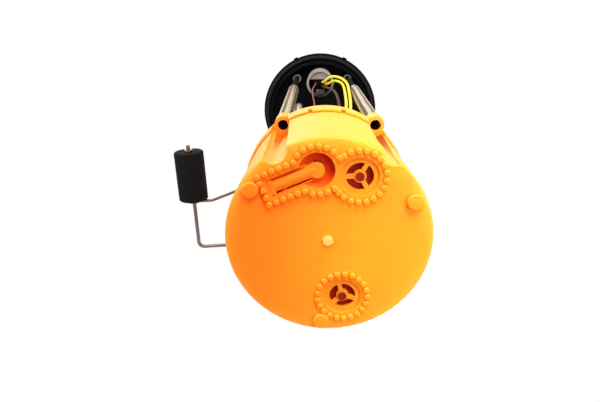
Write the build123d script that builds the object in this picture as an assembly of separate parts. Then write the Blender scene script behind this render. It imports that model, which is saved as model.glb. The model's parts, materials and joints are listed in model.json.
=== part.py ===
from build123d import *
import os
from math import atan2, cos, degrees, radians, sin, tan

# Fuel pump module. The origin is on the module's axis, at the flange's seat on the tank.
# +Z goes up through the flange, -Y is the side of the two guide struts. Lengths in mm.

# reservoir
floor_z = -362.0
reservoir_r = 47.7
reservoir_draft = 1.5
reservoir_rim_r = reservoir_r - reservoir_draft
reservoir_h = 86.0
rim_z = floor_z + reservoir_h
reservoir_wall = 2.3
floor_t = 3.0
floor_edge = 1.0
flute_r = 6.3
flute_foot_r = {"left": reservoir_r + 0.9, "right": reservoir_r + 2.4}
flute_turn = 4.0
foot_r = 3.7
foot_h = 1.9
foot_edge = 0.6
foot_circle_r = reservoir_r - 5.2
foot_angles = (-25.8, -145.8, 94.2)
gate_at = (-0.4, 0.7)
gate_r = 2.5
gate_h = 0.6

# inlet valves
valve_centres = {"front": (0.281 * reservoir_r, -0.625 * reservoir_r), "rear": (0.145 * reservoir_r, 0.616 * reservoir_r)}
valve_turns = {"front": -62.0, "rear": -105.0}
valve_recess_r = 8.8
valve_recess = 0.9
valve_slot_r = 6.2
valve_hub_r = 2.85
valve_stop_r = 2.0
valve_spoke = 1.9
valve_disc_r = 7.6
valve_disc_t = 1.0
valve_stem_r = 1.4
valve_lift = 0.5
valve_stop_t = 0.5
shaft_gap = 0.08

# bead chains under the floor
bead_r = 1.25
bead_tip_r = 0.75
bead_h = 1.1
bead_pitch = 3.5
bead_sides = 8
bead_ring_r = 11.8

# jet pump pocket and elbow
pocket = (-0.1153 * reservoir_r, -0.6834 * reservoir_r)
pocket_r = 8.1
pocket_bead_r = 10.9
pocket_depth = 10.0
pocket_wall = 1.8
elbow_root = (pocket[0] - 0.3, pocket[1] - 0.4)
elbow_turn = 157.0
elbow_len = 22.2
elbow_r = 3.45
elbow_bore_r = 1.8
elbow_slot = 4.1
elbow_bead_gap = 6.9
elbow_bead_len = 25.7
elbow_riser = 22.0
barb_r = 2.6
nub_r = 1.1
nub_back = 5.5

# pump holder on the reservoir's rim
skirt_gap = 0.5
skirt_wall = 1.0
skirt_r = reservoir_rim_r + skirt_gap + skirt_wall
skirt_h = 13.0
deck_t = 3.2
deck_ledge = 8.7
deck_in_r = reservoir_rim_r - deck_ledge
window_w = 4.0
window_h = 5.0
window_angles = (-160.0, -20.0, 45.0, 135.0)
notch_w = 2.6
notch_h = 7.5
notch_depth = 1.0
notch_angles = (-101.0, -78.0)
sleeve_t = 1.8
sleeve_h = 40.0
spoke_w = 4.5
spoke_h = 7.0
spoke_angles = (35.0, 145.0, -165.0, -15.0)

# guide struts
strut_y = 11.4 - reservoir_r
strut_spacing = 54.8
strut_shift = 2.2
boss_r = 5.2
boss_h = 14.0
boss_lip = 2.0
boss_hole_r = 3.2
tube_r = 4.6
tube_wall = 0.85
tube_bore_r = tube_r - tube_wall
tube_top_z = -108.0
bush_len = 20.0
bush_head = 1.6
rod_r = 3.0
rod_top_z = 3.0
stop_gap = 0.2
socket_r = 6.2
socket_z = -4.0
collar_r = 4.6
collar_t = 2.4
foot_bush_len = 10.0
foot_floor = 2.0
spring_wire_r = 0.45
spring_r = 2.95
spring_turns = 9

# electric pump
pump_r = 19.0
pump_z = floor_z + 24.0
pump_len = 72.0
cap_h = 7.0
inlet_r = 4.5
inlet_len = 5.0
nipple_len = 15.0
isolator_lip = 1.4
strainer_r = 17.0
strainer_h = 6.4
pump_plug_size = (11.0, 6.5, 8.0)
pump_plug_at = (8.5, -10.5)

# level sender
pivot = (-8.0, rim_z + 30.0)
sender_y = deck_in_r - 1.0
sender_t = 6.0
sender_w = 28.0
sender_top_z = rim_z + 47.0
sender_rib = 26.0
card_t = 0.8
card_h = 18.0
tab_size = (4.0, 0.8, 6.5)
tab_sunk = 2.5
tab_places = (-15.0, -3.0)
pin_r = 2.4
rotor_r = 8.0
rotor_y = sender_y + 8.8
rotor_t = 3.8
rotor_block = (14.0, 7.0, 4.2)
pin_head_r = 3.6
pin_head = 1.2
wiper_len = 15.0

# float arm
arm_r = 1.2
arm_y = sender_y + 14.2
arm_bend = 3.6
arm_corner = (-84.8, pivot[1] - 12.6)
arm_tip = (-87.5, -20.0)
float_r = 9.4
float_len = 32.5
float_bore_r = 1.28
float_edge = 0.8
float_front_y = -16.1
clip_r = 2.6
clip_t = 1.0
finger_r = 1.0
finger_bend = 5.0
finger_end = (-51.4, 9.5, pivot[1] - 7.1)

# flange
spigot_r = 54.5
spigot_len = 12.0
spigot_wall = 2.6
seal_in_r = spigot_r + 2.1
seal_w = 3.6
seal_out_r = seal_in_r + seal_w
flange_r = seal_out_r + 2.2
flange_t = 5.0
flange_edge = 1.0
crown_r = spigot_r - 6.5
crown_t = 3.0
seal_depth = 1.4
seal_h = 3.4
rim_lug = (4.4, 1.2)
rim_lug_angles = (-64.9, -115.1)

# connector and nipples
shroud_at = (-0.3, 20.0 - spigot_r)
shroud_r = 13.3
shroud_wall = 1.6
shroud_z = -36.0
shroud_lip = 2.5
shroud_web_y = shroud_at[1] - 4.0
shroud_web_z = -34.0
plug_r = 9.0
plug_z = -30.0
plug_tail = (13.0, 7.0, 8.0)
latch_size = (9.0, 5.0, 12.0)
latch_y = 8.0
socket_size = (24.0, 15.0, 17.0)
socket_wall = 1.8
blade = (2.8, 0.8, 11.0)
blade_pitch = 4.6
quick_r = 3.945
quick_len = 21.0
quick_bead_r = 4.9
quick_bead = 2.0
nipple_root_r = 4.4
nipple_root = 3.0
nipple_foot_r = 7.5
nipple_foot = 4.0
nipple_drop = 17.0
feed_at = (9.0, 24.0)
return_at = (-16.0, 23.0)

# hoses and wires
feed_hose_r = 4.8
feed_bore_r = 3.3
return_hose_r = 3.2
return_bore_r = 2.3
wire_r = 1.2
thin_wire_r = 0.6
clamp_t = 0.7
clamp_w = 6.0
hose_grip = 11.0
hose_sides = 8
wire_sides = 6
feed_route = [(0, 0, -256), (0, 0, -231), (5, 5, -207), (15, 17, -178), (19, 29, -145),
              (16, 32, -110), (11, 27, -74), (9, 24, -42), (9, 24, -6)]
return_route = [(*pocket, floor_z + 16), (*pocket, floor_z + 41), (-7.5, -31, -296), (-11, -29.5, -266),
                (-16, -29.5, -236), (-18.8, -29.8, -200), (-19.4, -30, -160), (-19.4, -24, -137),
                (-19, -8, -127), (-18, 9, -119), (-16.8, 18.5, -98), (-16, 22.4, -70), (-16, 23, -42), (-16, 23, -6)]
wire_routes = {
    "yellow_wire_1": [(5.2, -34.5, -38), (5.2, -34.5, -50), (13, -40, -57), (20, -39.5, -76), (20.5, -38, -108),
                      (19.5, -36, -150), (17.5, -34, -196), (12.5, -27, -225), (6.5, -10.5, -236), (6.5, -10.5, -251)],
    "yellow_wire_2": [(2, -36.2, -38), (2, -36.2, -50), (9.5, -43.5, -54), (18.5, -43.5, -64), (24, -41.4, -92),
                      (23.2, -38, -136), (21.5, -34.5, -185), (18, -28, -219), (10.5, -10.5, -236), (10.5, -10.5, -251)],
    "brown_wire": [(2, -32.3, -38), (2, -32.3, -50), (8.5, -33, -64), (13, -33, -90), (14, -32, -128), (14, -29, -172),
                   (14.5, -21, -210), (14, -2, -229), (9, 14, -226), (3, 25, -212), (-1, 30, -199), (-3, 39.5, -199), (-3, 39.5, -225)],
    "red_wire": [(-5, -35, -38), (-5, -35, -52), (-8, -36, -88), (-8, -35, -132), (-6, -33.5, -180), (-7, -26, -216),
                 (-12, -9, -234), (-17, 7, -232), (-18, 21, -220), (-17, 29, -202), (-15, 39.5, -200), (-15, 39.5, -225)],
}

rod_low_z = tube_top_z - bush_len - stop_gap - foot_bush_len + foot_floor
deck_z = rim_z + deck_t
struts = {"left": strut_shift - strut_spacing / 2, "right": strut_shift + strut_spacing / 2}
sleeve_r = pump_r + sleeve_t
pump_top_z = pump_z + pump_len
cap_top_z = pump_top_z + cap_h
stalk_top_z = floor_z + pocket_depth + elbow_riser
arm_turn = degrees(atan2(arm_corner[1] - pivot[1], pivot[0] - arm_corner[0]))


def drum(radius, bottom, top, at=(0, 0)):
    return Pos(at[0], at[1], bottom) * Cylinder(radius, top - bottom, align=(Align.CENTER, Align.CENTER, Align.MIN))


def tube(outer, inner, bottom, top, at=(0, 0)):
    return drum(outer, bottom, top, at) - drum(inner, bottom, top, at)


def block(size, at):
    return Pos(*at) * Box(*size, align=(Align.CENTER, Align.CENTER, Align.MIN))


def polar(radius, angle):
    return radius * cos(radians(angle)), radius * sin(radians(angle))


def arc_radii(points):
    radii = []
    for before, here, after in zip(points, points[1:], points[2:]):
        run_in, run_out = Vector(*here) - Vector(*before), Vector(*after) - Vector(*here)
        turn = radians(run_in.get_angle(run_out))
        radii.append(0.45 * min(run_in.length, run_out.length) / tan(turn / 2))
    return radii


def cord(points, outer, sides):
    path = FilletPolyline(*points, radius=arc_radii(points)) if len(points) > 2 else Polyline(*points)
    return sweep(Plane(origin=path @ 0, z_dir=path % 0) * RegularPolygon(outer, sides), path=path)


# reservoir


def flute_axis(side):
    x = struts[side]
    turn = flute_turn if side == "left" else -flute_turn
    foot = polar(flute_foot_r[side], degrees(atan2(strut_y, x)) + turn)
    return Vector(*foot, floor_z), Vector(x, strut_y, rim_z)


def flute(side, radius):
    foot, head = flute_axis(side)
    line = head - foot
    plane = Plane(origin=foot - line * 0.1, z_dir=line)
    return plane * Cylinder(radius, line.length * 1.2, align=(Align.CENTER, Align.CENTER, Align.MIN))


def elbow_band(start, end, half_width):
    angle = radians(elbow_turn)
    mid = (start + end) / 2
    centre = (elbow_root[0] + mid * cos(angle), elbow_root[1] + mid * sin(angle))
    return Pos(*centre) * Rot(0, 0, elbow_turn) * Rectangle(end - start, 2 * half_width)


def slab(sketch, bottom, top):
    return Pos(0, 0, bottom) * extrude(sketch, amount=top - bottom)


def bead_outlines():
    front = Pos(*valve_centres["front"]) * Circle(bead_ring_r)
    jet = Pos(*pocket) * Circle(pocket_bead_r)
    rear = Pos(*valve_centres["rear"]) * Circle(bead_ring_r)
    return [front + jet + elbow_band(0, elbow_bead_len, elbow_bead_gap), rear]


def beads():
    narrowing = degrees(atan2(bead_r - bead_tip_r, bead_h))
    cone = extrude(RegularPolygon(bead_r, bead_sides), amount=-bead_h, taper=narrowing)
    found = []
    for outline in bead_outlines():
        ring = outline.face().outer_wire()
        count = round(ring.length / bead_pitch)
        found += [Pos(*tuple(ring @ (step / count))[:2], floor_z) * cone for step in range(count)]
    return found


def valve_cuts(name):
    x, y = valve_centres[name]
    recess = drum(valve_recess_r, floor_z, floor_z + valve_recess, (x, y))
    slots = Circle(valve_slot_r) - Circle(valve_hub_r)
    for step in range(3):
        spoke = Rectangle(valve_slot_r * 2, valve_spoke, align=(Align.MIN, Align.CENTER))
        slots -= Rot(0, 0, valve_turns[name] + 120 * step) * spoke
    cut = slab(Pos(x, y) * (slots + Circle(valve_stem_r + shaft_gap)), floor_z, floor_z + floor_t)
    return recess + cut


def reservoir_bucket():
    outside = Pos(0, 0, floor_z) * Cone(reservoir_r, reservoir_rim_r, reservoir_h, align=(Align.CENTER, Align.CENTER, Align.MIN))
    outside = chamfer(outside.edges().sort_by(Axis.Z)[0], floor_edge)
    inside = Pos(0, 0, floor_z + floor_t) * Cone(reservoir_r - reservoir_wall, reservoir_rim_r - reservoir_wall,
                                                 reservoir_h, align=(Align.CENTER, Align.CENTER, Align.MIN))
    for side in struts:
        outside -= flute(side, flute_r)
        inside -= flute(side, flute_r + reservoir_wall)
    bucket = outside - inside
    jet_roof = floor_z + pocket_depth + pocket_wall
    jet_shape = Pos(*pocket) * Circle(pocket_r + pocket_wall) + elbow_band(0, elbow_len + 1.5, elbow_slot + pocket_wall)
    bucket += slab(jet_shape, floor_z + floor_t / 2, jet_roof)
    bucket -= drum(pocket_r, floor_z, floor_z + pocket_depth, pocket)
    bucket -= slab(elbow_band(0, elbow_len + 0.4, elbow_slot), floor_z, floor_z + 2 * elbow_r + 0.6)
    bucket -= drum(barb_r + 0.9 + shaft_gap, floor_z, jet_roof + 1, pocket)
    for name in valve_centres:
        bucket -= valve_cuts(name)
    for angle in foot_angles:
        foot = drum(foot_r, floor_z - foot_h, floor_z + 0.5, polar(foot_circle_r, angle))
        bucket += chamfer(foot.edges().sort_by(Axis.Z)[0], foot_edge)
    bucket += drum(gate_r, floor_z - gate_h, floor_z + 0.5, gate_at)
    for angle in window_angles:
        tab = Pos(reservoir_rim_r + 0.2, 0) * Box(1.8, window_w - 0.7, window_h - 1.0, align=(Align.CENTER, Align.CENTER, Align.MIN))
        bucket += Pos(0, 0, rim_z - skirt_h + 2.0) * Rot(0, 0, angle) * tab
    for angle in notch_angles:
        dent = Pos(reservoir_rim_r, 0) * Box(2 * notch_depth, notch_w, notch_h, align=(Align.CENTER, Align.CENTER, Align.MIN))
        bucket -= Pos(0, 0, rim_z - skirt_h) * Rot(0, 0, angle) * dent
    return bucket + beads()


def valve(name):
    x, y = valve_centres[name]
    seat_z = floor_z + floor_t
    stem_low = floor_z + valve_recess - valve_lift - valve_stop_t - 0.1
    disc = drum(valve_disc_r, seat_z, seat_z + valve_disc_t, (x, y))
    stem = drum(valve_stem_r, stem_low, seat_z + 0.2, (x, y))
    stop = drum(valve_stop_r, stem_low, stem_low + valve_stop_t, (x, y))
    return disc + stem + stop


def jet_pump_elbow():
    z = floor_z + elbow_r
    run = Pos(*elbow_root, z) * Rot(0, 0, elbow_turn) * Rot(0, 90, 0)
    bar = run * Cylinder(elbow_r, elbow_len, align=(Align.CENTER, Align.CENTER, Align.MIN))
    end = run * Pos(0, 0, elbow_len - 1.6) * Box(2 * elbow_r, 2 * elbow_r, 1.6, align=(Align.CENTER, Align.CENTER, Align.MIN))
    hub = drum(elbow_r, floor_z + 0.3, z + 1.5, pocket)
    riser_top = floor_z + pocket_depth
    riser = drum(elbow_r - 0.3, z + 1.0, riser_top, pocket)
    barb = drum(barb_r + 0.9, riser_top - 0.5, riser_top + pocket_wall + 1.0, pocket)
    stalk = drum(return_bore_r, riser_top, riser_top + elbow_riser, pocket)
    body = bar + end + hub + riser + barb + stalk
    for side in (-1, 1):
        nub = (run * Pos(0, side * (elbow_r - 0.6), elbow_len - nub_back)).position
        body += drum(nub_r, z - 1.5, z + 1.5, (nub.X, nub.Y))
    body -= run * Pos(0, 0, 4) * Cylinder(elbow_bore_r, elbow_len, align=(Align.CENTER, Align.CENTER, Align.MIN))
    return body - drum(return_bore_r - 0.9, z, riser_top + elbow_riser + 1, pocket)


# pump holder


def pump_holder():
    skirt = drum(skirt_r, rim_z - skirt_h, rim_z) - Pos(0, 0, rim_z - skirt_h) * Cylinder(
        reservoir_rim_r + skirt_gap, skirt_h, align=(Align.CENTER, Align.CENTER, Align.MIN))
    for angle in window_angles:
        opening = Pos(skirt_r, 0) * Box(6, window_w, window_h, align=(Align.CENTER, Align.CENTER, Align.MIN))
        skirt -= Pos(0, 0, rim_z - skirt_h + 1.5) * Rot(0, 0, angle) * opening
    for angle in notch_angles:
        opening = Pos(skirt_r, 0) * Box(6, notch_w, notch_h, align=(Align.CENTER, Align.CENTER, Align.MIN))
        skirt -= Pos(0, 0, rim_z - skirt_h) * Rot(0, 0, angle) * opening
    for side in struts:
        skirt -= flute(side, flute_r + 0.2)
    body = skirt + tube(skirt_r, deck_in_r, rim_z, deck_z)
    body += tube(sleeve_r + sleeve_t, sleeve_r, deck_z - sleeve_h, deck_z + 4.0)
    for angle in spoke_angles:
        spoke = Pos(sleeve_r + 0.6, 0) * Box(deck_in_r - sleeve_r + 1.0, spoke_w, spoke_h, align=(Align.MIN, Align.CENTER, Align.MAX))
        body += Pos(0, 0, deck_z) * Rot(0, 0, angle) * spoke
    for side, x in struts.items():
        body += drum(boss_r, rim_z, rim_z + boss_h, (x, strut_y))
        web = Pos(x * 0.9, strut_y * 0.9, rim_z) * Rot(0, 0, degrees(atan2(strut_y, x))) * Box(
            14, 5.0, boss_h - 3.5, align=(Align.CENTER, Align.CENTER, Align.MIN))
        body += web & drum(skirt_r + 1, rim_z, rim_z + boss_h) - drum(deck_in_r, rim_z, rim_z + boss_h)
        body -= drum(tube_r, rim_z + boss_lip, rim_z + boss_h + 1, (x, strut_y))
        body -= drum(boss_hole_r, rim_z - 1, rim_z + boss_h, (x, strut_y))
    return body


# guide struts


def guide_tube(x):
    return tube(tube_r, tube_bore_r, rim_z + boss_lip, tube_top_z, (x, strut_y))


def tube_bush(x):
    bore = rod_r + shaft_gap
    bush = drum(tube_bore_r, tube_top_z - bush_len, tube_top_z, (x, strut_y))
    head = drum(tube_r, tube_top_z, tube_top_z + bush_head, (x, strut_y))
    head = chamfer(head.edges().sort_by(Axis.Z)[-1], 0.9)
    return bush + head - drum(bore, tube_top_z - bush_len, tube_top_z + bush_head, (x, strut_y))


def guide_rod(x):
    return drum(rod_r, rod_low_z, rod_top_z, (x, strut_y))


def rod_collar(x):
    ring = tube(collar_r, rod_r, socket_z - collar_t, socket_z, (x, strut_y))
    return chamfer(ring.edges().filter_by(GeomType.CIRCLE).sort_by(Axis.Z)[0:1], 0.5)


def rod_foot(x):
    low = rod_low_z - foot_floor
    foot = drum(tube_bore_r - shaft_gap, low, low + foot_bush_len, (x, strut_y))
    return foot - drum(rod_r, rod_low_z, rod_low_z + foot_bush_len, (x, strut_y))


def return_spring(x):
    low, high = rim_z + boss_lip, rod_low_z - foot_floor
    rise = high - low - 2 * spring_wire_r
    path = Pos(x, strut_y, low + spring_wire_r) * Helix(rise / spring_turns, rise, spring_r)
    section = Plane(origin=path @ 0, z_dir=path % 0) * RegularPolygon(spring_wire_r, 4)
    return sweep(section, path=path, is_frenet=True)


# electric pump


def pump_can():
    can = drum(pump_r, pump_z, pump_top_z)
    return chamfer(can.edges().filter_by(GeomType.CIRCLE), 0.9)


def pump_inlet_cap():
    cap = drum(pump_r - 0.8, pump_z - cap_h, pump_z)
    cap = chamfer(cap.edges().sort_by(Axis.Z)[0], 1.5)
    return cap + drum(inlet_r, pump_z - cap_h - inlet_len, pump_z - cap_h)


def pump_outlet_cap():
    cap = drum(pump_r - 0.8, pump_top_z, cap_top_z)
    cap = chamfer(cap.edges().sort_by(Axis.Z)[-1], 1.4)
    nipple = drum(feed_bore_r, cap_top_z, cap_top_z + nipple_len)
    nipple = chamfer(nipple.edges().sort_by(Axis.Z)[-1], 0.8)
    return cap + nipple - drum(feed_bore_r - 1.2, cap_top_z - 2, cap_top_z + nipple_len)


def pump_plug():
    body = block(pump_plug_size, (*pump_plug_at, cap_top_z))
    return chamfer(body.edges().filter_by(Axis.Z), 0.8)


def rubber_isolator():
    low = deck_z - sleeve_h
    ring = tube(sleeve_r, pump_r, low, deck_z + 4.0)
    return ring + tube(sleeve_r + sleeve_t, pump_r, deck_z + 4.0, deck_z + 4.0 + isolator_lip)


def strainer():
    low = floor_z + floor_t
    top = pump_z - cap_h - inlet_len + 3.0
    pad = drum(strainer_r, low, low + strainer_h)
    pad = chamfer(pad.edges().filter_by(GeomType.CIRCLE), 1.8)
    neck = drum(inlet_r + 2.0, low + strainer_h - 1.0, top)
    return pad + neck - drum(inlet_r, pump_z - cap_h - inlet_len, top)


# level sender


def sender_body():
    y = sender_y + sender_t / 2
    body = block((sender_w, sender_t, sender_top_z - deck_z), (pivot[0], y, deck_z))
    body = fillet(body.edges().filter_by(Axis.Y).group_by(Axis.Z)[-1], 5.0)
    foot = block((sender_w, 4.0, 2.2), (pivot[0], sender_y - 1.9, deck_z))
    rib = block((2.2, 3.0, sender_rib), (pivot[0], sender_y - 1.4, deck_z))
    body = body + foot + rib
    for tab in sender_terminals():
        body -= tab
    return body


def resistor_card():
    y = sender_y + sender_t + card_t / 2
    return block((sender_w - 4, card_t, card_h), (pivot[0], y, pivot[1] - pin_r - 1.0 - card_h))


def sender_terminals():
    return [block(tab_size, (x, sender_y + sender_t / 2, sender_top_z - tab_sunk)) for x in tab_places]


def pivot_pin():
    low = sender_y + sender_t
    across = Pos(pivot[0], 0, pivot[1]) * Rot(-90, 0, 0)
    pin = across * drum(pin_r, low, rotor_y + rotor_t + 0.2)
    return pin + across * drum(pin_head_r, rotor_y + rotor_t + 0.2, rotor_y + rotor_t + 0.2 + pin_head)


def arm_frame():
    return Pos(pivot[0], 0, pivot[1]) * Rot(0, arm_turn, 0)


def rotor():
    across = Rot(-90, 0, 0)
    disc = across * drum(rotor_r, rotor_y, rotor_y + rotor_t)
    length, height, depth = rotor_block
    hold = Pos(-pin_head_r - 0.8 - length / 2, rotor_y + rotor_t + depth / 2 - 0.6) * Box(length, depth, height)
    arm_plate = Pos(-pin_head_r - 0.8 - length / 2, rotor_y + rotor_t / 2) * Box(length, rotor_t, height)
    body = disc + hold + arm_plate - across * drum(pin_r + shaft_gap, rotor_y, rotor_y + rotor_t)
    body -= Pos(-rotor_r, arm_y) * Rot(0, -90, 0) * Cylinder(arm_r, 40)
    return arm_frame() * body


def wiper():
    y = rotor_y - 0.35
    leg = Pos(pivot[0], y, pivot[1] - 3.4) * Box(3.0, 0.7, wiper_len - 3.0, align=(Align.CENTER, Align.CENTER, Align.MAX))
    tip = Pos(pivot[0], y - 0.5, pivot[1] - wiper_len + 1.2) * Box(3.0, 1.3, 2.4)
    return leg + tip


def float_arm():
    start = Vector(-pin_head_r - 2.0, arm_y, 0)
    begin = arm_frame() * Pos(*start)
    points = [tuple(begin.position), (arm_corner[0], arm_y, arm_corner[1]), (arm_tip[0], arm_tip[1], arm_corner[1])]
    path = FilletPolyline(*points, radius=arm_bend)
    return sweep(Plane(origin=path @ 0, z_dir=path % 0) * Circle(arm_r), path=path)


def axle_point(y):
    share = (arm_y - y) / (arm_y - arm_tip[1])
    return Vector(arm_corner[0] + share * (arm_tip[0] - arm_corner[0]), y, arm_corner[1])


def on_axle(y):
    line = Vector(*arm_tip, 0) - Vector(arm_corner[0], arm_y, 0)
    return Plane(origin=axle_point(y), z_dir=line)


def float_body():
    plane = on_axle(float_front_y + float_len)
    body = Cylinder(float_r, float_len, align=(Align.CENTER, Align.CENTER, Align.MIN))
    body = chamfer(body.edges().filter_by(GeomType.CIRCLE), float_edge)
    return plane * (body - Cylinder(float_bore_r, 3 * float_len))


def float_clips():
    clip = Cylinder(clip_r, clip_t, align=(Align.CENTER, Align.CENTER, Align.MIN))
    clip -= Cylinder(arm_r, 10)
    return on_axle(float_front_y - 0.2) * clip


def stop_finger():
    eye_y = float_front_y + float_len + 0.3
    eye = Cylinder(arm_r + 2 * finger_r, 2 * finger_r, align=(Align.CENTER, Align.CENTER, Align.MAX)) - Cylinder(arm_r, 10)
    eye = on_axle(eye_y) * eye
    root = axle_point(eye_y + finger_r)
    start = root + Vector(arm_r + finger_r, 0, 0)
    knee = root + Vector(float_r + 2.5, 0, (finger_end[2] - root.Z) * 0.3)
    path = FilletPolyline(tuple(start), tuple(knee), finger_end, radius=finger_bend)
    wire = sweep(Plane(origin=path @ 0, z_dir=path % 0) * Circle(finger_r), path=path)
    return eye + wire


# flange


def flange_cover():
    disc = chamfer(drum(flange_r, 0, flange_t).edges().filter_by(GeomType.CIRCLE), flange_edge)
    crown = chamfer(drum(crown_r, flange_t, flange_t + crown_t).edges().sort_by(Axis.Z)[-1], 1.4)
    body = disc + crown + tube(spigot_r, spigot_r - spigot_wall, -spigot_len, 0.5)
    for angle in rim_lug_angles:
        lug = Pos(flange_r - 1.5) * Box(1.5 + rim_lug[1], rim_lug[0], flange_t, align=(Align.MIN, Align.CENTER, Align.MIN))
        body += Rot(0, 0, angle) * lug
    for x in struts.values():
        body += drum(socket_r, socket_z, 0.5, (x, strut_y))
        body -= drum(rod_r, socket_z, rod_top_z, (x, strut_y))
    body -= tube(seal_out_r, seal_in_r, 0, seal_depth)
    top = flange_t + crown_t
    socket = block((socket_size[0], socket_size[1], socket_size[2]), (*shroud_at, top - 0.5))
    socket = fillet(socket.edges().filter_by(Axis.Z), 3.5)
    hollow = block((socket_size[0] - 2 * socket_wall, socket_size[1] - 2 * socket_wall, socket_size[2]), (*shroud_at, top + 1.5))
    body += socket
    body -= fillet(hollow.edges().filter_by(Axis.Z), 2.2)
    for at in (feed_at, return_at):
        body += drum(nipple_foot_r, top - 0.5, top + nipple_foot, at)
    for at in (feed_at, return_at):
        body -= drum(nipple_root_r, -1, top + nipple_foot + 1, at)
    return body


def flange_seal():
    ring = tube(seal_out_r, seal_in_r, seal_depth - seal_h, seal_depth)
    low = ring.edges().filter_by(GeomType.CIRCLE).group_by(Axis.Z)[0]
    return chamfer(low, 0.7)


def hose_nipple(at, bore_r):
    seat = flange_t + crown_t + nipple_foot
    top = seat + quick_len
    bead_low = seat + nipple_root
    shank = drum(quick_r, seat, top, at)
    shank = chamfer(shank.edges().sort_by(Axis.Z)[-1], 0.8)
    bead = drum(quick_bead_r, bead_low, bead_low + quick_bead, at)
    bead = chamfer(bead.edges().filter_by(GeomType.CIRCLE), 0.6)
    body = shank + bead + drum(nipple_root_r, 0, bead_low + 0.5, at) + drum(bore_r, -nipple_drop, 0, at)
    return body - drum(bore_r - 0.9, -nipple_drop, top, at)


def shroud_web():
    x, y = shroud_at
    web = drum(shroud_r - shroud_wall / 2, shroud_web_z, 0, shroud_at)
    return web & block((2 * shroud_r, 2 * shroud_r, -shroud_web_z), (x, shroud_web_y - shroud_r, shroud_web_z))


def connector_shroud():
    outer = tube(shroud_r, shroud_r - shroud_wall, shroud_z, 0, shroud_at)
    rim = tube(shroud_r + 0.7, shroud_r - shroud_wall, shroud_z, shroud_z + shroud_lip, shroud_at)
    return outer + rim + shroud_web()


def inner_plug():
    body = drum(plug_r, plug_z, 0, shroud_at) - shroud_web()
    x, y = shroud_at
    tail = block(plug_tail, (x, y + 0.5, plug_z - plug_tail[2]))
    return body + tail


def plug_latch():
    x, y = shroud_at
    latch = block(latch_size, (x, y + latch_y, plug_z - latch_size[2]))
    return chamfer(latch.edges().group_by(Axis.Z)[0], 1.0)


def socket_blades():
    base = flange_t + crown_t + 1.5
    x, y = shroud_at
    return [block(blade, (x + (step - 1.5) * blade_pitch, y, base)) for step in range(4)]


# hoses


def hose(route, outer, bore, low_grip):
    x, y, z = route[0]
    solid = cord(route, outer, hose_sides) - drum(bore, z, z + low_grip, (x, y))
    x, y, z = route[-1]
    return solid - drum(bore, z - hose_grip, z, (x, y))


def clamp(route, end, hose_r):
    x, y, z = route[0] if end == "low" else route[-1]
    low = z + 3.0 if end == "low" else z - 3.0 - clamp_w
    ring = tube(hose_r + clamp_t, hose_r, low, low + clamp_w, (x, y))
    ear = block((2.4, 2.2, clamp_w - 2), (x, y + hose_r + clamp_t + 0.9, low + 1))
    return ring + ear


os.makedirs("parts", exist_ok=True)


def keep(name, shape):
    if isinstance(shape, (list, ShapeList)):
        shape = Compound(children=shape)
    export_step(shape, f"parts/{name}.step")
    print(name, round(shape.volume, 1))


keep("reservoir_bucket", reservoir_bucket())
keep("pump_holder", pump_holder())
keep("jet_pump_elbow", jet_pump_elbow())
for name in valve_centres:
    keep(f"valve_{name}", valve(name))
for side, x in struts.items():
    keep(f"guide_tube_{side}", guide_tube(x))
    keep(f"tube_bush_{side}", tube_bush(x))
    keep(f"rod_{side}", guide_rod(x))
    keep(f"rod_collar_{side}", rod_collar(x))
    keep(f"rod_foot_{side}", rod_foot(x))
    keep(f"return_spring_{side}", return_spring(x))
keep("pump_can", pump_can())
keep("pump_inlet_cap", pump_inlet_cap())
keep("pump_outlet_cap", pump_outlet_cap())
keep("pump_plug", pump_plug())
keep("rubber_isolator", rubber_isolator())
keep("strainer", strainer())
keep("sender_body", sender_body())
keep("resistor_card", resistor_card())
keep("sender_terminals", sender_terminals())
keep("pivot_pin", pivot_pin())
keep("rotor", rotor())
keep("wiper", wiper())
keep("float_arm", float_arm())
keep("stop_finger", stop_finger())
keep("float", float_body())
keep("float_clip", float_clips())
keep("flange_cover", flange_cover())
keep("flange_seal", flange_seal())
keep("feed_nipple", hose_nipple(feed_at, feed_bore_r))
keep("return_nipple", hose_nipple(return_at, return_bore_r))
keep("connector_shroud", connector_shroud())
keep("inner_plug", inner_plug())
keep("plug_latch", plug_latch())
keep("socket_blades", socket_blades())
keep("feed_hose", hose(feed_route, feed_hose_r, feed_bore_r, cap_top_z + nipple_len - feed_route[0][2]))
keep("return_hose", hose(return_route, return_hose_r, return_bore_r, stalk_top_z - return_route[0][2]))
keep("feed_clamp_low", clamp(feed_route, "low", feed_hose_r))
keep("feed_clamp_high", clamp(feed_route, "high", feed_hose_r))
keep("return_clamp_low", clamp(return_route, "low", return_hose_r))
keep("return_clamp_high", clamp(return_route, "high", return_hose_r))
for name, route in wire_routes.items():
    radius = thin_wire_r if name == "red_wire" else wire_r
    keep(name, cord(route, radius, wire_sides))
    print(name, "radii", [round(value, 1) for value in arc_radii(route)])
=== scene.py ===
import json
import math
import bmesh
import bpy
from mathutils import Matrix, Vector, noise


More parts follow.
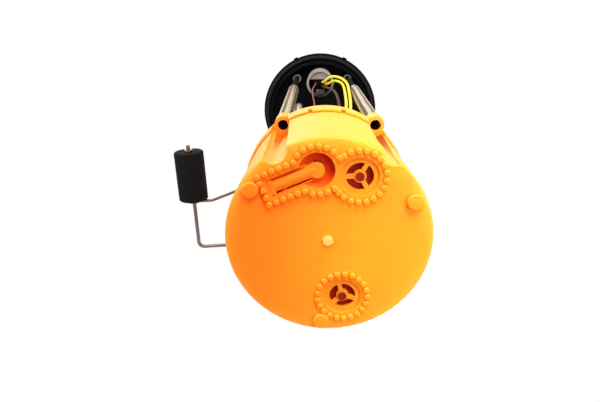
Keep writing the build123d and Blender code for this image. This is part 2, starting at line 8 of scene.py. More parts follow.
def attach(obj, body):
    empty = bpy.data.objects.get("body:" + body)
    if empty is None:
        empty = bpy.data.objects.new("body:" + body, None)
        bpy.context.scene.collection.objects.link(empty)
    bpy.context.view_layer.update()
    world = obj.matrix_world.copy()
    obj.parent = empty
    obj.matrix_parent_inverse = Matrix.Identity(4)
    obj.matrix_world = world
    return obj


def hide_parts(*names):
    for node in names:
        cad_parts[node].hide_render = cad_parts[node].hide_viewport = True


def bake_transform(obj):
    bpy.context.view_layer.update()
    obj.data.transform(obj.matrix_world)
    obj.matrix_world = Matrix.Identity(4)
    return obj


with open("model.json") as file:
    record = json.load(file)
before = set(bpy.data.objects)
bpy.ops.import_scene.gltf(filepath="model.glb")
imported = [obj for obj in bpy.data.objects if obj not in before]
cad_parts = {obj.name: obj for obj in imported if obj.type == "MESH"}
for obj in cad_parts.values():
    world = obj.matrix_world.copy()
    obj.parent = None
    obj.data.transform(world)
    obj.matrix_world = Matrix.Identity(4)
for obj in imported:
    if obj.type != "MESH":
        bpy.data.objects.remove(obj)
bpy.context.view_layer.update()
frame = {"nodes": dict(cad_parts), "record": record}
scene = bpy.context.scene
nodes = frame["nodes"]
print("frame loaded,", len(nodes), "solids")

bucketLevels = {"floor": -0.362, "rim": -0.276}
strutPlaces = {"left": (-0.0252, -0.0363), "right": (0.0296, -0.0363)}

cameraSetup = {
    "place": (-0.0072, -0.0935, -0.5775),
    "forward": (-0.0254, 0.3283, 0.9442),
    "up": (-0.0043, -0.9445, 0.3283),
    "lens": 30.69,
    "sensor": 36.0,
}


def makeCamera(setup):
    lensData = bpy.data.cameras.new("benchCamera")
    lensData.sensor_fit = "HORIZONTAL"
    lensData.sensor_width = setup["sensor"]
    lensData.lens = setup["lens"]
    lensData.clip_start = 0.01
    lensData.clip_end = 50.0
    camera = bpy.data.objects.new("benchCamera", lensData)
    scene.collection.objects.link(camera)
    forward = Vector(setup["forward"]).normalized()
    right = forward.cross(Vector(setup["up"])).normalized()
    up = right.cross(forward)
    turn = Matrix((right, up, -forward)).transposed().to_4x4()
    turn.translation = Vector(setup["place"])
    camera.matrix_world = turn
    scene.camera = camera


makeCamera(cameraSetup)


def linkMesh(name, points, faces):
    mesh = bpy.data.meshes.new(name)
    mesh.from_pydata([tuple(point) for point in points], [], faces)
    mesh.update()
    piece = bpy.data.objects.new(name, mesh)
    scene.collection.objects.link(piece)
    return piece


def outwardFaces(piece):
    work = bmesh.new()
    work.from_mesh(piece.data)
    bmesh.ops.remove_doubles(work, verts=work.verts, dist=1e-7)
    bmesh.ops.recalc_face_normals(work, faces=work.faces)
    work.to_mesh(piece.data)
    work.free()


def smoothShading(piece, angle):
    piece.data.shade_smooth()
    piece.data.set_sharp_from_angle(angle=math.radians(angle))


def turned(name, profile, origin, direction, steps, closed=False):
    # profile is (distance along the axis, radius) from end to end
    along = Vector(direction).normalized()
    side = along.orthogonal().normalized()
    other = along.cross(side)
    points, faces, rings = [], [], []
    for distance, radius in profile:
        middle = Vector(origin) + along * distance
        if radius < 1e-7:  # a point on the axis
            rings.append([len(points)])
            points.append(middle)
            continue
        ring = []
        for step in range(steps):
            angle = 2 * math.pi * step / steps
            ring.append(len(points))
            points.append(middle + radius * (side * math.cos(angle) + other * math.sin(angle)))
        rings.append(ring)
    pairs = list(zip(rings, rings[1:]))
    if closed:
        pairs.append((rings[-1], rings[0]))
    for low, high in pairs:
        for step in range(steps):
            after = (step + 1) % steps
            lower = [low[step % len(low)], low[after % len(low)]]
            upper = [high[after % len(high)], high[step % len(high)]]
            corners = list(dict.fromkeys(lower + upper))
            if len(corners) > 2:
                faces.append(corners)
    piece = linkMesh(name, points, faces)
    outwardFaces(piece)
    return piece


def roundedProfile(length, radius, corner, bore=0.0):
    # a cylinder's outline with rounded ends, round a bore if there is one
    outline, steps = [(0.0, bore)], 5
    for step in range(steps + 1):
        angle = math.pi / 2 * step / steps
        outline.append((corner * (1 - math.cos(angle)), radius - corner * (1 - math.sin(angle))))
    for step in range(steps + 1):
        angle = math.pi / 2 * step / steps
        outline.append((length - corner * (1 - math.sin(angle)), radius - corner * (1 - math.cos(angle))))
    outline.append((length, bore))
    return outline


def splineLine(name, route, steps):
    # points read from the route's own smooth spline
    curve = bpy.data.curves.new(name, "CURVE")
    curve.dimensions = "3D"
    curve.resolution_u = steps
    spline = curve.splines.new("NURBS")
    spline.points.add(len(route) - 1)
    for point, place in zip(spline.points, route):
        point.co = (*place, 1.0)
    spline.order_u = 3
    spline.use_endpoint_u = True
    holder = bpy.data.objects.new(name, curve)
    scene.collection.objects.link(holder)
    line = bpy.data.meshes.new_from_object(holder.evaluated_get(bpy.context.evaluated_depsgraph_get()))
    found = [vertex.co.copy() for vertex in line.vertices]
    bpy.data.objects.remove(holder)
    bpy.data.meshes.remove(line)
    return found


def lineLength(line):
    return sum((b - a).length for a, b in zip(line, line[1:]))


def tubeAlong(name, line, radius, sides):
    # a closed tube that follows a line
    points, faces = [], []
    for index, place in enumerate(line):
        along = (line[min(index + 1, len(line) - 1)] - line[max(index - 1, 0)]).normalized()
        across = across - along * across.dot(along) if index else along.orthogonal()
        across.normalize()
        other = along.cross(across)
        for step in range(sides):
            angle = 2 * math.pi * step / sides
            points.append(place + radius * (across * math.cos(angle) + other * math.sin(angle)))
    for index in range(len(line) - 1):
        for step in range(sides):
            after = (step + 1) % sides
            low, high = index * sides, (index + 1) * sides
            faces.append([low + step, low + after, high + after, high + step])
    faces.append(list(reversed(range(sides))))
    faces.append([(len(line) - 1) * sides + step for step in range(sides)])
    piece = linkMesh(name, points, faces)
    outwardFaces(piece)
    smoothShading(piece, 50.0)
    return piece


def closedSheet(name, front, back, rows):
    # a thin closed body between two matching grids of points, with so many points to a column
    count, columns, faces = len(front), len(front) // rows, []
    for column in range(columns - 1):
        for row in range(rows - 1):
            corner = column * rows + row
            quad = [corner, corner + 1, corner + rows + 1, corner + rows]
            faces += [quad, [place + count for place in reversed(quad)]]
    border = list(range(rows))
    border += [column * rows + rows - 1 for column in range(1, columns)]
    border += [count - rows + row for row in reversed(range(rows - 1))]
    border += [column * rows for column in reversed(range(1, columns - 1))]
    for here, after in zip(border, border[1:] + border[:1]):
        faces.append([here, after, after + count, here + count])
    piece = linkMesh(name, front + back, faces)
    outwardFaces(piece)
    smoothShading(piece, 40.0)
    return piece


def feed(tree, node, values):
    # constants go straight on the sockets, and other nodes' outputs are linked
    for socket, value in values.items():
        if isinstance(value, bpy.types.NodeSocket):
            tree.links.new(value, node.inputs[socket])
        else:
            node.inputs[socket].default_value = value


def addNode(tree, kind, values, **settings):
    node = tree.nodes.new(kind)
    for label, setting in settings.items():
        setattr(node, label, setting)
    feed(tree, node, values)
    return node


def addStep(tree, kind, values, **settings):
    # a node whose first output is the one that is used
    return addNode(tree, kind, values, **settings).outputs[0]


def addSockets(tree, inputs):
    kinds = {int: "NodeSocketInt", float: "NodeSocketFloat", tuple: "NodeSocketVector"}
    for label, value in inputs.items():
        socket = tree.interface.new_socket(label, in_out="INPUT", socket_type=kinds[type(value)])
        socket.default_value = value


def newGroup(name, inputs, outputs):
    tree = bpy.data.node_groups.new(name, "ShaderNodeTree")
    addSockets(tree, inputs)
    for label in outputs:
        tree.interface.new_socket(label, in_out="OUTPUT", socket_type="NodeSocketFloat")
    return tree, tree.nodes.new("NodeGroupInput").outputs, tree.nodes.new("NodeGroupOutput")


def mathStep(tree, operation, *values):
    return addStep(tree, "ShaderNodeMath", dict(enumerate(values)), operation=operation)


def noiseField(tree, vector, scale, detail=3.0, roughness=0.55):
    return addNode(tree, "ShaderNodeTexNoise", {
        "Vector": vector, "Scale": scale, "Detail": detail, "Roughness": roughness}).outputs["Fac"]


def objectPlace(tree):
    return tree.nodes.new("ShaderNodeTexCoord").outputs["Object"]


def makeMouldedSkin():
    # flow marks in the colour, a fine spark-eroded grain and a few rubbed places
    tree, given, result = newGroup(
        "mouldedSkin", {"Flow scale": 22.0, "Grain scale": 2600.0, "Roughness": 0.4, "Rub": 0.1},
        ["Flow", "Rubbed", "Roughness", "Height"])
    place = objectPlace(tree)
    flow = noiseField(tree, place, given["Flow scale"], detail=4.0, roughness=0.6)
    grain = noiseField(tree, place, given["Grain scale"], detail=2.0, roughness=0.5)
    scuff = noiseField(tree, place, 190.0, detail=6.0, roughness=0.72)
    clearFlow = mathStep(tree, "MULTIPLY_ADD", flow, 2.4, -0.7)  # the noise's middle spread over 0 to 1
    rubbed = mathStep(tree, "GREATER_THAN", scuff, 0.66)  # only the highest patches
    unevenness = mathStep(tree, "SUBTRACT", scuff, 0.5)
    feed(tree, result, {
        "Flow": mathStep(tree, "SMOOTH_MIN", clearFlow, 1.0, 0.1),
        "Rubbed": mathStep(tree, "MULTIPLY", rubbed, given["Rub"]),
        "Roughness": mathStep(tree, "MULTIPLY_ADD", unevenness, 0.35, given["Roughness"]),
        "Height": mathStep(tree, "MULTIPLY_ADD", flow, 0.6, grain)})
    return tree


def makePaintedShadingGroup():
    # a mask that grows along one direction; it lays painted light or painted shade over one side of a
    # moulding
    tree, given, result = newGroup("paintedShadingGroup", {"Direction": (6.0, -4.0, 0.0), "Middle": 0.5}, ["Mask"])
    values = {0: objectPlace(tree), 1: given["Direction"]}
    along = addNode(tree, "ShaderNodeVectorMath", values, operation="DOT_PRODUCT").outputs["Value"]
    feed(tree, result, {"Mask": mathStep(tree, "ADD", along, given["Middle"])})
    return tree


def makeDrawnMetal():
    # streaks along the draw, a cloudy tarnish and thin scratches
    tree, given, result = newGroup(
        "drawnMetal",
        {"Stretch": (900.0, 900.0, 12.0), "Contrast": 1.0, "Tarnish scale": 35.0, "Roughness": 0.25},
        ["Streak", "Tarnish", "Roughness", "Height"])
    place = objectPlace(tree)
    stretched = addStep(tree, "ShaderNodeMapping", {"Vector": place, "Scale": given["Stretch"]})
    fine = noiseField(tree, stretched, 1.0, detail=3.0, roughness=0.6)  # Stretch sets its scale
    middle = mathStep(tree, "SUBTRACT", fine, 0.5)
    tarnish = noiseField(tree, place, given["Tarnish scale"], detail=5.0, roughness=0.62)
    feed(tree, result, {
        "Streak": mathStep(tree, "MULTIPLY_ADD", middle, given["Contrast"], 0.5),
        "Tarnish": mathStep(tree, "MULTIPLY_ADD", tarnish, 2.2, -0.65),
        "Roughness": mathStep(tree, "MULTIPLY_ADD", middle, 0.3, given["Roughness"]),
        "Height": fine})
    return tree


def makePaintedReflectionBands():
    # lengthwise bands of painted dark reflection on bright metal, read from the turn about the tube's own
    # middle
    tree, given, result = newGroup(
        "paintedReflectionBands", {"Middle": (0.0, 0.0, 0.0), "Bands": 9.0, "Shift": 0.0, "Contrast": 2.0}, ["Band"])
    place = objectPlace(tree)
    offset = addStep(tree, "ShaderNodeVectorMath", {0: place, 1: given["Middle"]}, operation="SUBTRACT")
    turn = addNode(tree, "ShaderNodeTexGradient", {"Vector": offset}, gradient_type="RADIAL").outputs["Fac"]
    wander = mathStep(tree, "MULTIPLY_ADD", noiseField(tree, place, 40.0), 0.03, turn)  # in turns
    fullTurns = mathStep(tree, "MULTIPLY", given["Bands"], 2 * math.pi)
    wave = mathStep(tree, "SINE", mathStep(tree, "MULTIPLY_ADD", wander, fullTurns, given["Shift"]))
    feed(tree, result, {"Band": mathStep(tree, "MULTIPLY_ADD", wave, given["Contrast"], 0.5)})
    return tree


def makeSettledDust():
    # a thin film that settles on faces that look up
    tree, given, result = newGroup("settledDust", {"Patch scale": 60.0, "Amount": 0.2}, ["Mask"])
    normal = tree.nodes.new("ShaderNodeNewGeometry").outputs["Normal"]
    facing = addNode(tree, "ShaderNodeSeparateXYZ", {0: normal})
    patch = noiseField(tree, objectPlace(tree), given["Patch scale"], detail=5.0, roughness=0.65)
    upward = mathStep(tree, "MAXIMUM", mathStep(tree, "MULTIPLY_ADD", facing.outputs["Z"], 0.8, 0.1), 0.0)
    film = mathStep(tree, "MULTIPLY", upward, patch)
    feed(tree, result, {"Mask": mathStep(tree, "MULTIPLY", film, given["Amount"])})
    return tree


mouldedSkin = makeMouldedSkin()
paintedShadingGroup = makePaintedShadingGroup()
drawnMetal = makeDrawnMetal()
settledDust = makeSettledDust()
paintedReflectionBands = makePaintedReflectionBands()


def startMaterial(name):
    material = bpy.data.materials.new(name)
    material.use_nodes = True
    tree = material.node_tree
    return material, tree, tree.nodes["Principled BSDF"]


def placeGroup(tree, group, values):
    return addNode(tree, "ShaderNodeGroup", values, node_tree=group).outputs


def mixColours(tree, factor, first, second):
    values = {0: factor}
    for socket, value in ((6, first), (7, second)):  # a mix node's colour sockets
        values[socket] = (*value, 1.0) if isinstance(value, tuple) else value
    return addNode(tree, "ShaderNodeMix", values, data_type="RGBA", clamp_factor=True).outputs[2]


def addBump(tree, shader, height, depth, strength):
    bump = addStep(tree, "ShaderNodeBump", {"Height": height, "Distance": depth, "Strength": strength})
    feed(tree, shader, {"Normal": bump})


# what a look is where its own dictionary doesn't say otherwise
mouldingBasics = {
    "flowScale": 22.0, "grainScale": 2600.0, "grainDepth": 0.00004, "bump": 0.35, "rub": 0.25, "dust": 0.12,
    "dustColour": (0.55, 0.5, 0.44), "ior": 1.5, "coat": 0.0, "coatRoughness": 0.12, "glow": 0.0,
    "glowSpread": (1.0, 0.35, 0.08), "glowDepth": 0.002,
}
metalBasics = {
    "stretch": (900.0, 900.0, 12.0), "contrast": 1.0, "tarnishScale": 35.0, "scratchDepth": 0.00003,
    "scratches": 0.4, "metallic": 1.0, "ior": 1.5,
}
tubeBasics = {
    **metalBasics, "stretch": (700.0, 700.0, 8.0), "contrast": 1.5, "bandContrast": 1.6, "flecks": 0.35,
    "roughness": 0.2, "ior": 1.03,
}
# painted shade in the flutes, deep under the bosses and fading to this lighter orange towards the floor
fluteShadeBasics = {
    "paintedShadingColour": (0.75, 0.28, 0.07), "paintedShading": (0.0, 0.0, -26.0), "roughness": 0.6, "rub": 0.0, "dust": 0.0,
    "ior": 1.12, "bump": 0.2,
}


def plasticFinish(name, changes):
    look = {**mouldingBasics, "rubColour": changes["flowColour"], **changes}
    material, tree, shader = startMaterial(name)
    skin = placeGroup(tree, mouldedSkin, {
        "Flow scale": look["flowScale"], "Grain scale": look["grainScale"], "Roughness": look["roughness"],
        "Rub": look["rub"]})
    body = mixColours(tree, skin["Flow"], look["colour"], look["flowColour"])
    # painted light and shade: a second colour laid over the side where light or shade falls
    if "paintedShadingColour" in look:
        paintedShading = placeGroup(tree, paintedShadingGroup, {"Direction": look["paintedShading"], "Middle": look["paintedShadingMiddle"]})
        body = mixColours(tree, paintedShading["Mask"], body, look["paintedShadingColour"])
    rubbed = mixColours(tree, skin["Rubbed"], body, look["rubColour"])
    dust = placeGroup(tree, settledDust, {"Amount": look["dust"]})
    feed(tree, shader, {
        "Base Color": mixColours(tree, dust["Mask"], rubbed, look["dustColour"]),
        "Roughness": skin["Roughness"], "IOR": look["ior"],
        "Coat Weight": look["coat"], "Coat Roughness": look["coatRoughness"],
        "Subsurface Weight": look["glow"], "Subsurface Radius": look["glowSpread"],
        "Subsurface Scale": look["glowDepth"]})
    addBump(tree, shader, skin["Height"], look["grainDepth"], look["bump"])
    return material


def drawnSurface(tree, look):
    return placeGroup(tree, drawnMetal, {
        "Stretch": look["stretch"], "Contrast": look["contrast"], "Tarnish scale": look["tarnishScale"],
        "Roughness": look["roughness"]})


def metalFinish(name, changes):
    look = {**metalBasics, **changes}
    material, tree, shader = startMaterial(name)
    drawn = drawnSurface(tree, look)
    streaked = mixColours(tree, drawn["Streak"], look["colour"], look["streakColour"])
    feed(tree, shader, {
        "Base Color": mixColours(tree, drawn["Tarnish"], streaked, look["tarnishColour"]),
        "Roughness": drawn["Roughness"], "Metallic": look["metallic"], "IOR": look["ior"]})
    addBump(tree, shader, drawn["Height"], look["scratchDepth"], look["scratches"])
    return material


def bandedFinish(name, changes):
    # bare metal between bands of painted dark reflection, matt and not metallic
    look = {**tubeBasics, **changes}
    material, tree, shader = startMaterial(name)
    paintedReflection = placeGroup(tree, paintedReflectionBands, {
        "Middle": look["middle"], "Bands": look["bands"], "Shift": look["shift"],
        "Contrast": look["bandContrast"]})["Band"]
    banded = mixColours(tree, paintedReflection, look["colour"], look["paintedReflectionColour"])
    drawn = drawnSurface(tree, look)
    fleck = mathStep(tree, "MULTIPLY", drawn["Streak"], look["flecks"])
    darkReflectionShare = mathStep(tree, "MINIMUM", mathStep(tree, "MAXIMUM", paintedReflection, 0.0), 1.0)
    feed(tree, shader, {
        "Base Color": mixColours(tree, fleck, banded, look["streakColour"]),
        "Roughness": drawn["Roughness"], "Metallic": mathStep(tree, "SUBTRACT", 1.0, darkReflectionShare),
        "IOR": look["ior"], "Specular Tint": (*look["edgeColour"], 1.0)})
    addBump(tree, shader, drawn["Height"], look["scratchDepth"], look["scratches"])
    return material


def foamFinish(name, look):
    # closed-cell foam: open pores on a matte skin
    material, tree, shader = startMaterial(name)
    place = objectPlace(tree)
    pores = addStep(tree, "ShaderNodeTexVoronoi", {"Vector": place, "Scale": look["poreScale"]})
    patch = noiseField(tree, place, look["patchScale"], detail=5.0, roughness=0.6)
    feed(tree, shader, {
        "Base Color": mixColours(tree, patch, look["colour"], look["paleColour"]),
        "Roughness": mathStep(tree, "MULTIPLY_ADD", patch, look["patchRoughness"], look["roughness"]),
        "IOR": look["ior"]})
    height = mathStep(tree, "MULTIPLY_ADD", patch, look["patchHeight"], pores)
    addBump(tree, shader, height, look["poreDepth"], look["bump"])
    return material


def filterFinish(name, look):
    # woven filter cloth
    material, tree, shader = startMaterial(name)
    place, threads = objectPlace(tree), []
    for axis in ("X", "Y"):
        values = {"Vector": place, "Scale": look["weaveScale"]}
        threads.append(addNode(tree, "ShaderNodeTexWave", values, bands_direction=axis).outputs["Fac"])
    weave = mathStep(tree, "MULTIPLY", *threads)
    feed(tree, shader, {
        "Base Color": mixColours(tree, weave, look["gapColour"], look["colour"]),
        "Roughness": look["roughness"]})
    addBump(tree, shader, weave, look["weaveDepth"], look["bump"])
    return material


finishes = {
    # painted light: the orange turns yellower towards +X, the side the key light falls on
    "orange_moulding": plasticFinish("orangeMoulding", {
        "colour": (0.93, 0.245, 0.012), "flowColour": (0.94, 0.27, 0.016), "rubColour": (0.94, 0.34, 0.035),
        "paintedShadingColour": (0.95, 0.4, 0.024), "paintedShading": (22.0, 1.5, 0.0), "paintedShadingMiddle": 0.7,
        "roughness": 0.5, "rub": 0.14, "dust": 0.0, "ior": 1.36, "glow": 0.25, "glowSpread": (1.0, 0.4, 0.06),
        "glowDepth": 0.003, "grainScale": 1500.0, "grainDepth": 0.00003, "bump": 0.25}),
    "black_moulding": plasticFinish("blackMoulding", {
        "colour": (0.0022, 0.002, 0.0022), "flowColour": (0.004, 0.0037, 0.004),
        "rubColour": (0.012, 0.012, 0.012), "roughness": 0.6, "dust": 0.01, "bump": 0.4, "ior": 1.09}),
    "black_rubber": plasticFinish("blackRubber", {
        "colour": (0.005, 0.005, 0.005), "flowColour": (0.009, 0.0085, 0.008), "roughness": 0.7, "bump": 0.5,
        "ior": 1.25, "dust": 0.03}),
    "valve_rubber": plasticFinish("valveRubber", {
        "colour": (0.22, 0.01, 0.01), "flowColour": (0.3, 0.014, 0.012), "roughness": 0.55, "dust": 0.0,
        "ior": 1.3}),
    # painted shade of the pocket's hollow: dark crimson, turning orange towards -X and +Y where more light
    # reaches
    "pocket_shade": plasticFinish("pocketPaintedShade", {
        "colour": (0.42, 0.02, 0.012), "flowColour": (0.5, 0.026, 0.014), "paintedShadingColour": (0.95, 0.15, 0.002),
        "paintedShading": (-50.0, 55.0, 0.0), "paintedShadingMiddle": 2.02, "roughness": 0.5, "rub": 0.0, "dust": 0.0,
        "ior": 1.2, "glow": 0.2, "glowSpread": (1.0, 0.3, 0.05), "bump": 0.2}),
    # painted shade: this deep red-orange stands in for the shaded walls of the slot round the elbow
    "slot_shade_lip": plasticFinish("slotShadeLip", {
        "colour": (0.85, 0.16, 0.008), "flowColour": (0.9, 0.2, 0.01), "roughness": 0.55, "dust": 0.0,
        "ior": 1.25}),
    # painted shade in the flutes under the bosses: deep orange-red on the left, brown on the right
    "tongue_left": plasticFinish("fluteShadeLeft", {
        **fluteShadeBasics, "colour": (0.6, 0.075, 0.0), "flowColour": (0.68, 0.1, 0.001), "paintedShadingMiddle": -7.8}),
    "tongue_right": plasticFinish("fluteShadeRight", {
        **fluteShadeBasics, "colour": (0.26, 0.045, 0.002), "flowColour": (0.36, 0.065, 0.003),
        "paintedShadingMiddle": -7.9}),
    "float_nitrile": foamFinish("floatFoam", {
        "colour": (0.003, 0.0028, 0.003), "paleColour": (0.007, 0.0065, 0.007), "roughness": 0.75,
        "patchScale": 90.0, "patchRoughness": 0.25, "patchHeight": 0.4, "poreScale": 1500.0,
        "poreDepth": 0.00022, "bump": 0.8, "ior": 1.17}),
    # painted shade: the grey turns almost black towards +Y, where the connector shroud's lower ring lies in
    # shade
    "grey_plastic": plasticFinish("greyPlastic", {
        "colour": (0.2, 0.175, 0.16), "flowColour": (0.32, 0.285, 0.26), "roughness": 0.45, "ior": 1.3,
        "paintedShadingColour": (0.02, 0.017, 0.015), "paintedShading": (20.0, 80.0, 0.0), "paintedShadingMiddle": 2.8}),
    "lilac_plastic": plasticFinish("lilacPlastic", {
        "colour": (0.05, 0.034, 0.042), "flowColour": (0.075, 0.052, 0.064), "roughness": 0.45, "ior": 1.28}),
    "brass": metalFinish("brassBlades", {
        "colour": (0.78, 0.55, 0.22), "streakColour": (0.66, 0.44, 0.16), "tarnishColour": (0.42, 0.26, 0.1),
        "roughness": 0.3}),
    "bright_steel": metalFinish("brightSteel", {
        "colour": (0.83, 0.78, 0.74), "streakColour": (0.5, 0.4, 0.35), "tarnishColour": (0.6, 0.52, 0.46),
        "roughness": 0.2, "tarnishScale": 30.0}),
    # painted reflection: the dark bands stand where the tubes mirror dark surroundings, and the cream of the
    # bright metal is partly a painted reflection of the yellow bucket
    "tube_steel_left": bandedFinish("tubeSteelLeft", {
        "colour": (0.97, 0.82, 0.6), "paintedReflectionColour": (0.045, 0.03, 0.018), "streakColour": (0.3, 0.2, 0.14),
        "edgeColour": (0.95, 0.85, 0.7), "middle": (*strutPlaces["left"], 0.0), "bands": 5.0,
        "shift": 0.92}),
    "tube_steel_right": bandedFinish("tubeSteelRight", {
        "colour": (0.97, 0.86, 0.72), "paintedReflectionColour": (0.06, 0.045, 0.03), "streakColour": (0.3, 0.22, 0.17),
        "edgeColour": (0.95, 0.86, 0.76), "middle": (*strutPlaces["right"], 0.0), "bands": 6.0,
        "shift": 2.89}),
    "dark_zinc": metalFinish("darkZinc", {
        "colour": (0.42, 0.4, 0.33), "streakColour": (0.3, 0.28, 0.22), "tarnishColour": (0.12, 0.11, 0.08),
        "roughness": 0.3, "tarnishScale": 240.0, "metallic": 0.4}),
    "dark_steel": metalFinish("darkSteel", {
        "colour": (0.008, 0.006, 0.0055), "streakColour": (0.004, 0.003, 0.003),
        "tarnishColour": (0.006, 0.004, 0.004), "roughness": 0.6, "metallic": 0.0, "ior": 1.05}),
    "spring_steel": metalFinish("springSteel", {
        "colour": (0.62, 0.6, 0.58), "streakColour": (0.4, 0.38, 0.36), "tarnishColour": (0.3, 0.25, 0.2),
        "roughness": 0.3}),
    "arm_wire": metalFinish("armWire", {
        "colour": (0.33, 0.27, 0.24), "streakColour": (0.2, 0.15, 0.13), "tarnishColour": (0.15, 0.1, 0.085),
        "roughness": 0.3, "stretch": (700.0, 25.0, 700.0)}),
    "white_plastic": plasticFinish("whitePlastic", {
        "colour": (0.72, 0.7, 0.64), "flowColour": (0.78, 0.76, 0.7), "roughness": 0.35, "glow": 0.1}),
    "nozzle_plastic": plasticFinish("nozzlePlastic", {
        "colour": (0.012, 0.012, 0.014), "flowColour": (0.02, 0.02, 0.022), "roughness": 0.3, "bump": 0.25}),
    "hose_nylon": plasticFinish("hoseNylon", {
        "colour": (0.34, 0.29, 0.25), "flowColour": (0.45, 0.4, 0.35), "roughness": 0.22, "coat": 0.6,
        "glow": 0.25, "bump": 0.2, "flowScale": 60.0}),
    "clamp_steel": metalFinish("clampSteel", {
        "colour": (0.72, 0.7, 0.68), "streakColour": (0.5, 0.48, 0.46), "tarnishColour": (0.42, 0.38, 0.34),
        "roughness": 0.28, "stretch": (60.0, 60.0, 1500.0)}),
    "sender_plastic": plasticFinish("senderPlastic", {
        "colour": (0.6, 0.56, 0.48), "flowColour": (0.68, 0.64, 0.56), "roughness": 0.42}),
    "ceramic_card": plasticFinish("ceramicCard", {
        "colour": (0.78, 0.78, 0.76), "flowColour": (0.84, 0.83, 0.8), "roughness": 0.5, "rub": 0.05}),
    "yellow_insulation": plasticFinish("yellowInsulation", {
        "colour": (0.66, 0.47, 0.004), "flowColour": (0.8, 0.6, 0.01), "roughness": 0.4, "bump": 0.2,
        "flowScale": 120.0, "dust": 0.0, "ior": 1.35}),
    "brown_insulation": plasticFinish("brownInsulation", {
        "colour": (0.05, 0.022, 0.01), "flowColour": (0.085, 0.04, 0.018), "roughness": 0.6, "bump": 0.2,
        "dust": 0.0, "ior": 1.15}),
    "red_insulation": plasticFinish("redInsulation", {
        "colour": (0.15, 0.025, 0.012), "flowColour": (0.22, 0.04, 0.02), "roughness": 0.5, "bump": 0.2,
        "dust": 0.0, "ior": 1.3}),
    "filter_cloth": filterFinish("filterCloth", {
        "colour": (0.62, 0.6, 0.52), "gapColour": (0.2, 0.18, 0.15), "roughness": 0.7, "weaveScale": 420.0,
        "weaveDepth": 0.0001, "bump": 0.7}),
    "resistor_ink": metalFinish("resistorInk", {
        "colour": (0.3, 0.3, 0.32), "streakColour": (0.2, 0.2, 0.22), "tarnishColour": (0.16, 0.15, 0.15),
        "roughness": 0.4, "metallic": 0.7}),
    "gate_scar": plasticFinish("gateScar", {
        "colour": (0.9, 0.56, 0.12), "flowColour": (0.93, 0.66, 0.22), "roughness": 0.5, "dust": 0.0,
        "flowScale": 900.0, "grainScale": 2200.0, "bump": 0.6, "grainDepth": 0.0001}),
}
print("finishes ready:", len(finishes))


def startTree(name, inputs, painted=True):
    tree = bpy.data.node_groups.new(name, "GeometryNodeTree")
    tree.interface.new_socket("Geometry", in_out="INPUT", socket_type="NodeSocketGeometry")
    addSockets(tree, inputs)
    if painted:
        tree.interface.new_socket("Material", in_out="INPUT", socket_type="NodeSocketMaterial")
    tree.interface.new_socket("Geometry", in_out="OUTPUT", socket_type="NodeSocketGeometry")
    return tree, tree.nodes.new("NodeGroupInput").outputs, tree.nodes.new("NodeGroupOutput")


def endTree(tree, given, result, geometry, smooth=True):
    real = addStep(tree, "GeometryNodeRealizeInstances", {"Geometry": geometry})
    shade = addStep(tree, "GeometryNodeSetShadeSmooth", {"Geometry": real, "Shade Smooth": smooth})
    paint = addStep(tree, "GeometryNodeSetMaterial", {"Geometry": shade, "Material": given["Material"]})
    feed(tree, result, {"Geometry": paint})


def growPiece(name, seeds, tree, values, finish):
    # runs a tree on the seed points and keeps the result as a plain mesh
    holder = linkMesh(name + "Seeds", seeds, [])
    maker = holder.modifiers.new(name, "NODES")
    maker.node_group = tree
    values = {**values, "Material": finishes[finish]}
    for item in tree.interface.items_tree:
        if item.in_out == "INPUT" and item.name in values:
            maker[item.identifier] = values[item.name]
    holder.update_tag()
    mesh = bpy.data.meshes.new_from_object(holder.evaluated_get(bpy.context.evaluated_depsgraph_get()))
    bpy.data.objects.remove(holder)
    mesh.name = name
    piece = bpy.data.objects.new(name, mesh)
    scene.collection.objects.link(piece)
    return piece


def makeEdgeShading():
    # joins the loose triangles and keeps the real edges sharp; nothing is moved
    tree, given, result = startTree(
        "edgeShading", {"Merge distance": 1e-6, "Sharp angle": math.radians(50)}, painted=False)
    merged = addStep(tree, "GeometryNodeMergeByDistance", {
        "Geometry": given["Geometry"], "Distance": given["Merge distance"]})
    smoothed = addStep(tree, "GeometryNodeSetShadeSmooth", {"Geometry": merged})
    angle = tree.nodes.new("GeometryNodeInputMeshEdgeAngle").outputs["Unsigned Angle"]
    values = {0: angle, 1: given["Sharp angle"]}
    sharp = addStep(tree, "FunctionNodeCompare", values, operation="GREATER_THAN")
    values = {"Geometry": smoothed, "Selection": sharp, "Shade Smooth": False}
    feed(tree, result, {"Geometry": addStep(tree, "GeometryNodeSetShadeSmooth", values, domain="EDGE")})
    return tree


edgeShading = makeEdgeShading()
slotOfNode = {row["node"]: row["material_slot"] for row in frame["record"]["subparts"]}
slotOfNode["strainer"] = "filter_cloth"
for side in ("left", "right"):
    slotOfNode["guide_tube_" + side] = "tube_steel_" + side
    slotOfNode["rod_collar_" + side] = "dark_zinc"


def dressSolids():
    for name, solid in nodes.items():
        solid.data.materials.clear()
        solid.data.materials.append(finishes[slotOfNode[name]])
        shading = solid.modifiers.new("edgeShading", "NODES")
        shading.node_group = edgeShading
        weighting = solid.modifiers.new("cornerShading", "WEIGHTED_NORMAL")
        weighting.keep_sharp = True
    print("solids dressed")


dressSolids()


def finishPiece(piece, finish, body):
    piece.data.materials.clear()
    piece.data.materials.append(finishes[finish])
    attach(piece, body)


